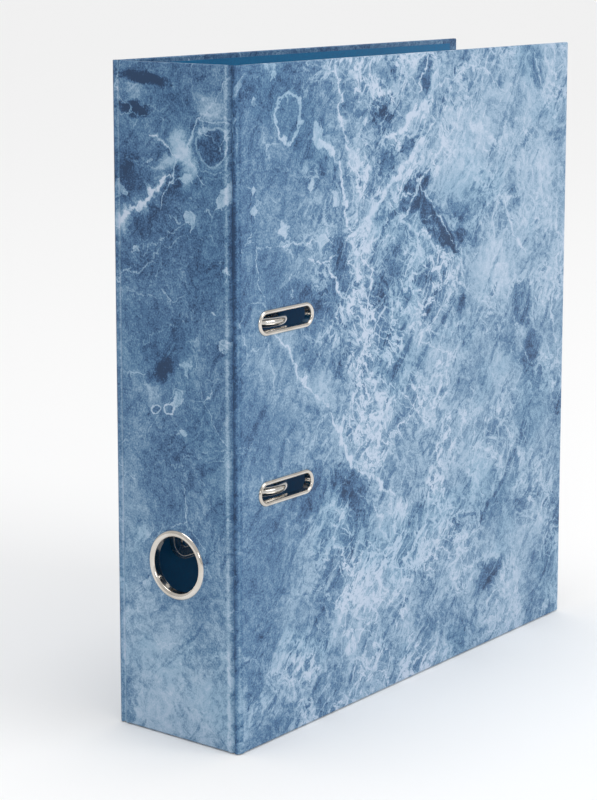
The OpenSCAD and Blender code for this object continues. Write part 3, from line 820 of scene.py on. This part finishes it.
# ---- joints ----------------------------------------------------------------------
# The sheet leaves the spine, dips into a groove, turns the corner and meets the cover.

CORNER_R = 2.4
SPINE_RUN = JOINT_SPINE - CORNER_R
CORNER_RUN = math.pi * CORNER_R / 2
JOINT_RUN = SPINE_RUN + CORNER_RUN + JOINT_COVER - CORNER_R
# Grooves: where they are and how wide on each side, as shares of the whole run, and how deep
GROOVES = [(0.275, 0.17, 0.9), (0.745, 0.12, 0.45)]
STRIP_RIM = 0.12            # a row of points this close to each end keeps the ends crisp


def joint_point(s, depth):
    """(p, q) of the joint's sheet: p into the file from the spine's face, q from the cover's face."""
    for where, half, groove in GROOVES:
        x = (s / JOINT_RUN - where) / half
        if abs(x) < 1:
            depth += groove * (1 + math.cos(math.pi * x)) / 2
    a = min(max((s - SPINE_RUN) / CORNER_RUN, 0), 1) * math.pi / 2
    before = max(SPINE_RUN - s, 0)
    after = max(s - SPINE_RUN - CORNER_RUN, 0)
    return (CORNER_R - (CORNER_R - depth) * math.cos(a) + after,
            CORNER_R - (CORNER_R - depth) * math.sin(a) + before)


def joint_curve(depth, start, end, steps):
    return [joint_point(start + (end - start) * i / steps, depth) for i in range(steps + 1)]


def joint_strip(name, loop, shares, front_side, low, high, slot, to_uv):
    """A strip of the joint's cross-section, closed loop of (p, q), from z = low to high.
    shares tells how far along the joint each point is."""
    bm = bmesh.new()
    layer = bm.loops.layers.uv.new("print")
    rows, share_of = [], {}
    for z in (low, low + STRIP_RIM, high - STRIP_RIM, high):
        rows.append([bm.verts.new(at(p, DEPTH - q if front_side else q, z)) for p, q in loop])
        share_of.update(zip(rows[-1], shares))
    count = len(loop)
    for lower, upper in zip(rows, rows[1:]):
        for j in range(count):
            k = (j + 1) % count
            bm.faces.new((lower[j], lower[k], upper[k], upper[j]))
    half = count // 2
    for row in (rows[0], rows[-1]):
        for j in range(half - 1):
            bm.faces.new((row[j], row[j + 1], row[count - 2 - j], row[count - 1 - j]))
    for face in bm.faces:
        for corner in face.loops:
            s, t = to_uv(share_of[corner.vert], corner.vert.co.z / MM)
            corner[layer].uv = (s / UNIT, t / UNIT)
    return add_piece(name, bm, slot, smooth=50)


def joint_pair(side):
    """The printed strip and the lining strip of one joint."""
    front_side = side == "front"
    steps = 64
    outside = joint_curve(0, 0, JOINT_RUN, steps)
    inside = joint_curve(WRAP, 0, JOINT_RUN, steps)
    shares = [i / steps for i in range(steps + 1)]
    if front_side:
        to_uv = lambda share, z: (-JOINT_SPINE + share * (JOINT_SPINE + JOINT_COVER), z)
    else:
        to_uv = lambda share, z: (-DEPTH + JOINT_SPINE - share * (JOINT_SPINE + JOINT_COVER), z)
    strip = joint_strip(side + "_joint_print", outside + inside[::-1], shares + shares[::-1], front_side,
                        0, HEIGHT, "ice_print", to_uv)
    # The lining runs down the spine board's edge, along the wrap and up the cover board's edge
    near = [(PANEL, JOINT_SPINE)] + joint_curve(WRAP, 0, JOINT_RUN, steps) + [(JOINT_COVER, PANEL)]
    far = [(PANEL, JOINT_SPINE - LINING)]
    far += joint_curve(WRAP + LINING, LINING, JOINT_RUN - LINING, steps)
    far += [(JOINT_COVER - LINING, PANEL)]
    lining_shares = [0.0] + shares + [1.0]
    lining = joint_strip(side + "_joint_lining_strip", near + far[::-1], lining_shares + lining_shares[::-1],
                         front_side, LINING_LO, HEIGHT - LINING_LO, "teal_lining", to_uv)
    for piece, node in ((strip, side + "_joint_wrap"), (lining, side + "_joint_lining")):
        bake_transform(piece)
        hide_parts(node)


joint_pair("front")
joint_pair("back")

# ---- eyelets -----------------------------------------------------------------------


def eyelet_profile(width, height, wall, depth, curl):
    """A pressed eyelet in (distance outside the clear hole, height above the face)."""
    r = (width * width / 4 + height * height) / (2 * height)
    half = math.degrees(math.asin(min(width / 2 / r, 1)))
    bead = arc(width / 2, height - r, r, 90 + half, 90 - half, 20)
    bottom = [(wall, 0.0), (wall, -depth), (wall + 0.3, -depth)]
    rolled = arc(wall + 0.3, -depth - curl / 2, curl / 2, 90, -90, 8)
    inner = arc(curl / 2, -depth - curl / 2, curl / 2, 270, 180, 6)
    return bead + bottom + rolled[1:] + inner


def washer_profile(inner, outer, low, high, round_r=0.12):
    """A flat washer with rounded outer corners, in (distance, height)."""
    return ([(inner, high), (inner, low)]
            + arc(outer - round_r, low + round_r, round_r, -90, 0, 4)
            + arc(outer - round_r, high - round_r, round_r, 0, 90, 4))


COLLAR = 0.4
CURL = 0.3
for name, z in (("upper", SLOTS_Z[0]), ("lower", SLOTS_Z[1])):
    for kind, profile in (
        ("rim", eyelet_profile(BEAD, PROUD, BARREL, PANEL + COLLAR, CURL)),
        ("collar", washer_profile(BARREL + 0.05, BEAD, -PANEL - COLLAR, -PANEL)),
    ):
        bm = bmesh.new()
        rings = []
        for x, y, out_x, out_y in stadium(SLOT_RUN, SLOT_R, 40):
            rings.append([at(SLOT_U + x + d * out_x, DEPTH + h, z + y + d * out_y) for d, h in profile])
        add_rings(bm, rings)
        piece = add_piece(f"slot_{kind}_{name}_metal", bm, "nickel")
        rides(piece, "front_cover", f"slot_{kind}_{name}")

for kind, profile in (
    ("finger_ring", eyelet_profile(FLANGE_R - RING_R, PROUD, BARREL, PANEL + COLLAR, CURL)),
    ("finger_ring_collar", washer_profile(BARREL + 0.05, FLANGE_R - RING_R, -PANEL - COLLAR, -PANEL)),
):
    bm = bmesh.new()
    turned(bm, [(RING_R + d, h) for d, h in profile],
           lambda r, turn, h: at(-h, RING_V + r * math.cos(turn), RING_Z + r * math.sin(turn)), 128)
    piece = add_piece(kind + "_metal", bm, "nickel")
    rides(piece, "spine", kind)

# ---- pressed and turned metal ----------------------------------------------------------
# The mechanism lies on the back cover. Its pieces keep the CAD's shapes, with smooth rounds and
# broken edges.

MECH_LO, MECH_HI = place_of("base_plate")
MID_Z = (MECH_LO.z + MECH_HI.z) / 2
SIDES = (-1, 1)
PLATE = 1.0
PLATE_V = PANEL + PLATE
POST_LO, POST_HI = place_of("post_upper")
POST_U = (POST_LO.x + POST_HI.x) / 2
POST_Z = (POST_LO.z + POST_HI.z) / 2 - MID_Z
POST_TOP = POST_HI.y
WIRE_R = 2.3
BAIL_U, BAIL_V = 29.0, 9.0
LEVER_U, LEVER_V = 42.0, 17.0
ROLLER_U, ROLLER_V = 40.0, 11.9
ROLLER_R = 3.4
PIN_R = 1.5
PIN_PLAY = 0.05
SHEET_T = 1.2
EDGE = 0.15                 # broken edges of pressed steel
CLOSED = 0.001              # radius at which a turned solid closes on its axis
COVER_RIVETS = [(u, MID_Z + side * 78) for u in (46, 63) for side in SIDES]
BRACKET_RIVETS = [(50.2, MID_Z + side * 5.8) for side in SIDES]
BRACKET_U = (37, 53.5)
BRACKET_HALF = 9.6


def circle(x, y, r, steps=40):
    return arc(x, y, r, 0, 360, steps)[:-1]


def pressed(bm, loops, level, thickness, lies, edge=EDGE):
    """Adds a plate with broken edges. loops are its outline and its holes. It lies in (u, z) with its
    middle at a level of v, or in (u, v) with its middle at a level of z."""
    curve = bpy.data.curves.new("outline", "CURVE")
    curve.dimensions = "2D"
    curve.fill_mode = "BOTH"
    curve.extrude = thickness / 2 - edge
    curve.bevel_depth = edge
    curve.bevel_resolution = 2
    curve.offset = -edge
    for points in loops:
        spline = curve.splines.new("POLY")
        spline.points.add(len(points) - 1)
        for point, (x, y) in zip(spline.points, points):
            point.co = (x, y, 0, 1)
        spline.use_cyclic_u = True
    holder = bpy.data.objects.new("outline", curve)
    bpy.context.scene.collection.objects.link(holder)
    bpy.context.view_layer.update()
    mesh = bpy.data.meshes.new_from_object(holder.evaluated_get(bpy.context.evaluated_depsgraph_get()))
    for vert in mesh.vertices:
        x, y, height = vert.co
        vert.co = at(x, level + height, y) if lies == "u z" else at(x, y, level + height)
    bm.from_mesh(mesh)
    bpy.data.objects.remove(holder)
    bpy.data.curves.remove(curve)
    bpy.data.meshes.remove(mesh)


def tube(bm, path, r, segments=32, round_end=0.5):
    """A wire of radius r along a path of frame points in metres, with rounded ends."""
    frames = []
    side = None
    for i, point in enumerate(path):
        tangent = (path[min(i + 1, len(path) - 1)] - path[max(i - 1, 0)]).normalized()
        if side is None:
            side = tangent.orthogonal().normalized()
        side = (side - tangent * side.dot(tangent)).normalized()
        frames.append((point, tangent, side, tangent.cross(side)))

    def round_off(frame, inward, angles):
        point, tangent, one, other = frame
        return [(point + tangent * (inward * round_end * MM * (1 - math.cos(math.radians(a)))), tangent, one,
                 other, r - round_end * (1 - math.sin(math.radians(a)))) for a in angles]

    every = round_off(frames[0], 1, (0, 30, 60, 90))
    every += [(*frame, r) for frame in frames[1:-1]]
    every += round_off(frames[-1], -1, (90, 60, 30, 0))
    rings = []
    for point, _, one, other, radius in every:
        turns = [2 * math.pi * j / segments for j in range(segments)]
        rings.append([point + (one * math.cos(a) + other * math.sin(a)) * (radius * MM) for a in turns])
    add_rings(bm, rings, joined=False, capped=True)


def rounded_path(corners, radii, step=8):
    """A path through corners, each rounded to a radius in millimetres."""
    corners = [Vector(c) for c in corners]
    path = [corners[0]]
    for before, corner, after, radius in zip(corners, corners[1:], corners[2:], radii):
        one, two = (before - corner).normalized(), (after - corner).normalized()
        half = one.angle(two) / 2
        reach = radius / math.tan(half)
        centre = corner + (one + two).normalized() * (radius / math.sin(half))
        a, b = corner + one * reach - centre, corner + two * reach - centre
        angle = a.angle(b)
        steps = max(3, int(math.degrees(math.pi - 2 * half) / step) + 1)
        for share in [i / steps for i in range(steps + 1)]:
            path.append(centre + (a * math.sin((1 - share) * angle) + b * math.sin(share * angle))
                        / math.sin(angle))
    return path + [corners[-1]]


def turned_piece(name, slot, body, node, profile, axes_at, steps):
    """A piece of one turned profile about each of several axes."""
    bm = bmesh.new()
    for to_point in axes_at:
        turned(bm, profile, to_point, steps)
    rides(add_piece(name, bm, slot), body, node)


def round_z(u, v):
    """Points about an axis along z through (u, v)."""
    return lambda r, turn, z: at(u + r * math.cos(turn), v + r * math.sin(turn), z)


# Base plate: a wide middle, narrower ends, a pressed rim and two lugs for the wire
def plate_outline(inset):
    right, body, end = 73 - inset, 14 + inset, 35 + inset
    half, tall = 56 - inset, 87 - inset
    upper = arc(right - 12 + inset, tall - 12 + inset, 12 - inset, 0, 90, 10)
    upper += arc(end + 12 - inset, tall - 12 + inset, 12 - inset, 90, 180, 10)
    upper += [(end, half)]
    upper += arc(body + 6 - inset, half - 6 + inset, 6 - inset, 90, 180, 8)
    return [(u, MID_Z + z) for u, z in upper] + [(u, MID_Z - z) for u, z in reversed(upper)]


def bores(places, r):
    return [circle(x, y, r) for x, y in places]


POSTS = [(POST_U, MID_Z + side * POST_Z) for side in SIDES]
RIM = 1.5                   # width of the pressed rim
bm = bmesh.new()
holes = bores(COVER_RIVETS, 2.05) + bores(POSTS, 1.65) + bores(BRACKET_RIVETS, PIN_R + PIN_PLAY)
pressed(bm, [plate_outline(0)] + holes, PANEL + PLATE / 2, PLATE, "u z")
profile = [(0.03, 0.0), (0.03, 0.62), (0.14, 0.82), (0.35, 0.9), (1.1, 0.9), (1.38, 0.72), (1.5, 0.4),
           (1.7, 0.0)]
rings = []
for (ou, oz), (iu, iz) in zip(plate_outline(0), plate_outline(RIM)):
    rings.append([at(ou + (iu - ou) * d / RIM, PLATE_V + h, oz + (iz - oz) * d / RIM) for d, h in profile])
add_rings(bm, rings)
LUG_R, LUG_Z, LUG_T = 4.3, 22, 2.4
lug = arc(BAIL_U, BAIL_V, LUG_R, 180, 0, 24)
lug = [(BAIL_U - LUG_R, PANEL + 0.5)] + lug + [(BAIL_U + LUG_R, PANEL + 0.5)]
for side in SIDES:
    pressed(bm, [lug, circle(BAIL_U, BAIL_V, WIRE_R + 0.06)], MID_Z + side * LUG_Z, LUG_T, "u v", 0.25)
rides(add_piece("base_plate_pressed", bm, "plated_sheet"), "back_cover", "base_plate")

# Rivets through the cover and the plate, domed outside
turned_piece(
    "mechanism_rivets_domed", "nickel", "back_cover", "mechanism_rivets",
    [(CLOSED, -0.6), (1.2, -0.56), (2.4, -0.42), (3.4, -0.24), (4.1, -0.06), (4.4, 0.0), (2.0, 0.0),
     (2.0, PLATE_V), (3.4, PLATE_V), (3.4, PLATE_V + 0.35), (3.2, PLATE_V + 0.62), (2.8, PLATE_V + 0.8),
     (1.3, PLATE_V + 0.8), (0.9, PLATE_V + 0.55), (CLOSED, PLATE_V + 0.5)],
    [round_v(u, z) for u, z in COVER_RIVETS], 48)

for name, side in (("post_upper", 1), ("post_lower", -1)):
    turned_piece(
        name + "_turned", "bright_wire", "back_cover", name,
        [(CLOSED, PANEL), (1.6, PANEL), (1.6, PLATE_V), (3.6, PLATE_V), (3.6, PLATE_V + 0.7),
         (3.3, PLATE_V + 1.0), (2.7, PLATE_V + 1.0), (WIRE_R, PLATE_V + 1.4),
         (WIRE_R, POST_TOP - 0.6), (WIRE_R - 0.08, POST_TOP - 0.35), (WIRE_R - 0.3, POST_TOP - 0.1),
         (WIRE_R - 0.6, POST_TOP), (CLOSED, POST_TOP)],
        [round_v(POST_U, MID_Z + side * POST_Z)], 48)

# Bracket for the lever, and its two rivets
bm = bmesh.new()
lo_u, hi_u = BRACKET_U
foot = [(u, MID_Z + z) for u, z in ((lo_u, -BRACKET_HALF), (hi_u, -BRACKET_HALF), (hi_u, BRACKET_HALF),
                                    (lo_u, BRACKET_HALF))]
pressed(bm, [foot] + bores(BRACKET_RIVETS, PIN_R + PIN_PLAY), PLATE_V + SHEET_T / 2, SHEET_T, "u z")
ear = [(lo_u, PLATE_V), (hi_u, PLATE_V), (hi_u, PLATE_V + 2 * SHEET_T)]
ear += arc(LEVER_U, LEVER_V, 4.0, 0, 180, 24) + [(lo_u, PLATE_V + 2 * SHEET_T)]
for side in SIDES:
    pressed(bm, [ear, circle(LEVER_U, LEVER_V, PIN_R + PIN_PLAY)],
            MID_Z + side * (BRACKET_HALF - SHEET_T / 2), SHEET_T, "u v")
rides(add_piece("lever_bracket_pressed", bm, "plated_sheet"), "back_cover", "lever_bracket")

head = PLATE_V + SHEET_T
turned_piece(
    "bracket_rivets_domed", "nickel", "back_cover", "bracket_rivets",
    [(CLOSED, PANEL), (PIN_R, PANEL), (PIN_R, head), (2.4, head), (2.4, head + 0.3), (2.1, head + 0.62),
     (1.4, head + 0.8), (CLOSED, head + 0.8)],
    [round_v(u, z) for u, z in BRACKET_RIVETS], 40)


def mirrored(half, profile):
    """A profile of (radius, distance past an end at half) points, at both ends of a turned pin."""
    return ([(r, MID_Z - half - d) for r, d in profile]
            + [(r, MID_Z + half + d) for r, d in reversed(profile)])


# Lever pin with a rolled head at each end, the roller's pin, and the roller with its bore
turned_piece(
    "lever_pin_headed", "nickel", "back_cover", "lever_pin",
    mirrored(BRACKET_HALF, [(CLOSED, 0.8), (1.5, 0.8), (2.1, 0.6), (2.4, 0.25), (2.4, 0), (PIN_R, 0)]),
    [round_z(LEVER_U, LEVER_V)], 40)
turned_piece(
    "roller_pin_turned", "nickel", "lever", "roller_pin",
    mirrored(8, [(CLOSED, 0), (PIN_R - 0.2, 0), (PIN_R, -0.2)]),
    [round_z(ROLLER_U, ROLLER_V)], 32)
turned_piece(
    "roller_turned", "roller_steel", "roller", "roller",
    mirrored(6.4, [(1.56, -0.15), (1.75, 0), (3.1, 0), (3.33, -0.1), (ROLLER_R, -0.3)]),
    [round_z(ROLLER_U, ROLLER_V)], 56)

# Bail: one wire with an arch at each end
ARCH_R = 14.5
ARCH_TOP = 70.8 - WIRE_R
LEG_U = POST_U - 2 * ARCH_R
tip = POST_TOP + 0.3        # a small gap keeps the arches off the posts
bend = ARCH_R - 0.001
one_side = [(POST_U, tip), (POST_U, ARCH_TOP), (LEG_U, ARCH_TOP), (LEG_U, 22), (BAIL_U, BAIL_V)]
upper = [(u, v, MID_Z + POST_Z) for u, v in one_side]
corners = upper + [(u, v, MID_Z - POST_Z) for u, v in reversed(one_side)]
radii = [bend, bend, 5, 3, 3, 5, bend, bend]
bm = bmesh.new()
tube(bm, [at(*p) for p in rounded_path(corners, radii)], WIRE_R)
rides(add_piece("bail_wire_bent", bm, "bright_wire"), "arches", "bail_wire")

# Rocker plate pressed round the wire
bm = bmesh.new()
top = ROLLER_V - ROLLER_R - 0.2
end = 47
hub = arc(BAIL_U, BAIL_V, WIRE_R + SHEET_T, -11, 215, 36)
arm = [(BAIL_U + 1.2, top - SHEET_T - 1.3), (BAIL_U + 4, top - SHEET_T), (end - SHEET_T, top - SHEET_T),
       (end - SHEET_T / 2, top - 2 * SHEET_T + 0.2), (end - 0.1, top - SHEET_T), (end - 0.3, top - 0.5),
       (end - SHEET_T, top)]
pressed(bm, [arm + hub, circle(BAIL_U, BAIL_V, WIRE_R + 0.05)], MID_Z, 11, "u v")
rides(add_piece("rocker_plate_pressed", bm, "plated_sheet"), "arches", "rocker_plate")

# Lever: a bent strip with a curled grip, and two cheeks
bm = bmesh.new()
LEVER_HALF = 8
LEVER_ROUND = 3             # radius of the grip's corners
corners = [(8.4, 30.6, 0), (9.2, 27.4, 0), (12.6, 24.8, 0), (36, 19.6, 0), (46, 19.6, 0)]
path = rounded_path(corners, [2.6, 4.5, 14])
COLUMNS = (-1, -0.97, -0.6, -0.2, 0.2, 0.6, 0.97, 1)
rings = []
for i, point in enumerate(path):
    along = (path[min(i + 1, len(path) - 1)] - path[max(i - 1, 0)]).normalized()
    other = point + Vector((-along.y, along.x, 0)) * SHEET_T
    short = LEVER_ROUND - min((point - path[0]).length, LEVER_ROUND)
    half = LEVER_HALF - (LEVER_ROUND - math.sqrt(max(LEVER_ROUND ** 2 - short ** 2, 0)))
    ring = []
    for face, back, columns in ((point, other, COLUMNS), (other, point, COLUMNS[::-1])):
        for c in columns:
            p = face.lerp(back, 0.18 / SHEET_T if abs(c) == 1 else 0)
            ring.append(at(p.x, p.y, MID_Z + c * half))
    rings.append(ring)
add_rings(bm, rings, joined=False, capped=True)
cheek = [(46, 20.2), (30.3, 21.5), (30.2, 20.8)]
cheek += arc(ROLLER_U, ROLLER_V, 3.1, 205, 350, 20) + [(46, 16.2)]
for side in SIDES:
    pressed(bm, [cheek, circle(LEVER_U, LEVER_V, PIN_R + 0.06, 28)],
            MID_Z + side * (LEVER_HALF - SHEET_T / 2), SHEET_T, "u v")
rides(add_piece("lever_curled", bm, "nickel"), "lever", "lever")

# Compressor bar that slides on the posts, its outer edge turned up
bm = bmesh.new()
reach, inner_edge, half = POST_U + 13, POST_U + 5, POST_Z
EYE_R = 7
CORNER = 1.5
outline = arc(POST_U, MID_Z + half, EYE_R, 90, 270, 24)
outline += [(inner_edge, MID_Z + half - EYE_R), (inner_edge, MID_Z - half + EYE_R)]
outline += arc(POST_U, MID_Z - half, EYE_R, 90, 270, 24)
outline += arc(reach - CORNER, MID_Z - half - EYE_R + CORNER, CORNER, -90, 0, 6)
outline += arc(reach - CORNER, MID_Z + half + EYE_R - CORNER, CORNER, 0, 90, 6)
pressed(bm, [outline] + bores(POSTS, WIRE_R + 0.25), 5.9, 1.4, "u z", 0.2)
lip = [(reach - 1.4, 5.4), (reach, 5.4), (reach, 8.9), (reach - 0.25, 9.15), (reach - 0.7, 9.2),
       (reach - 1.15, 9.15), (reach - 1.4, 8.9)]
pressed(bm, [lip], MID_Z, 2 * half, "u v", 0.15)
rides(add_piece("compressor_bar_pressed", bm, "plated_sheet"), "compressor", "compressor_bar")

# ---- boards and linings carried over from the CAD ---------------------------------------

for node in ("back_board", "front_board", "spine_board", "back_lining", "front_lining", "spine_lining"):
    piece = frame["nodes"][node]
    piece.data.materials.clear()
    piece.data.materials.append(BOARD if node.endswith("board") else TEAL)
    softened = piece.modifiers.new("edges", "BEVEL")
    softened.width = (0.45 if node.endswith("board") else 0.08) * MM
    softened.segments = 2
    softened.limit_method = "ANGLE"
    softened.angle_limit = math.radians(60)

# ---- floor, light and camera -----------------------------------------------------------


def floor():
    """A pale floor, wide enough to meet the white room at the horizon. Sizes are in metres."""
    bm = bmesh.new()
    bmesh.ops.create_grid(bm, x_segments=1, y_segments=1, size=60.0)
    made = new_object("floor", bm)
    made.location = (0, 0, -0.0005)
    material, t, shader = new_material("floor", Roughness=0.9, Specular_IOR_Level=0.1)
    shader.inputs["Base Color"].default_value = (0.93, 0.93, 0.93, 1)
    made.data.materials.append(material)


def area_light(name, place, target, size, power, colour=(1, 1, 1)):
    data = bpy.data.lights.new(name, "AREA")
    data.shape = "RECTANGLE"
    data.size, data.size_y = size
    data.energy = power
    data.color = colour
    made = bpy.data.objects.new(name, data)
    made.location = place
    made.rotation_mode = "QUATERNION"
    made.rotation_quaternion = (Vector(target) - Vector(place)).to_track_quat("-Z", "Y")
    bpy.context.scene.collection.objects.link(made)


floor()
area_light("key", (0.5, -1.9, 1.5), (0, 0, 0.15), (1.3, 1.3), 14)
area_light("fill", (-1.6, -1.1, 0.75), (0, 0, 0.12), (0.4, 0.4), 3)

overhead = bpy.data.lights.new("overhead", "SUN")
overhead.energy = 0.95
overhead.angle = math.radians(40)
bpy.context.scene.collection.objects.link(bpy.data.objects.new("overhead", overhead))

# The room is white, and seen directly it is as bright as the lit floor
AMBIENT = 0.65
world = bpy.data.worlds.new("studio")
world.use_nodes = True
room = Tree(world.node_tree)
seen = room.node("ShaderNodeLightPath").outputs["Is Camera Ray"]
background = world.node_tree.nodes["Background"]
background.inputs[0].default_value = (1, 1, 1, 1)
world.node_tree.links.new(room.step(seen, 0.0, 1.0, AMBIENT, 1.0, kind="LINEAR"), background.inputs[1])
bpy.context.scene.world = world
bpy.context.scene.view_settings.view_transform = "Standard"

YAW = math.radians(52.054)
PITCH = math.radians(8.867)
camera_data = bpy.data.cameras.new("camera")
camera_data.sensor_width = 36
camera_data.lens = 98.466
camera_data.shift_y = -0.15
camera_data.clip_end = 50
camera = bpy.data.objects.new("camera", camera_data)
camera.location = (-0.88554, -0.65314, 0.37324)
camera.rotation_mode = "QUATERNION"
camera.rotation_quaternion = Vector((
    math.sin(YAW) * math.cos(PITCH), math.cos(YAW) * math.cos(PITCH), -math.sin(PITCH),
)).to_track_quat("-Z", "Y")
bpy.context.scene.collection.objects.link(camera)
bpy.context.scene.camera = camera
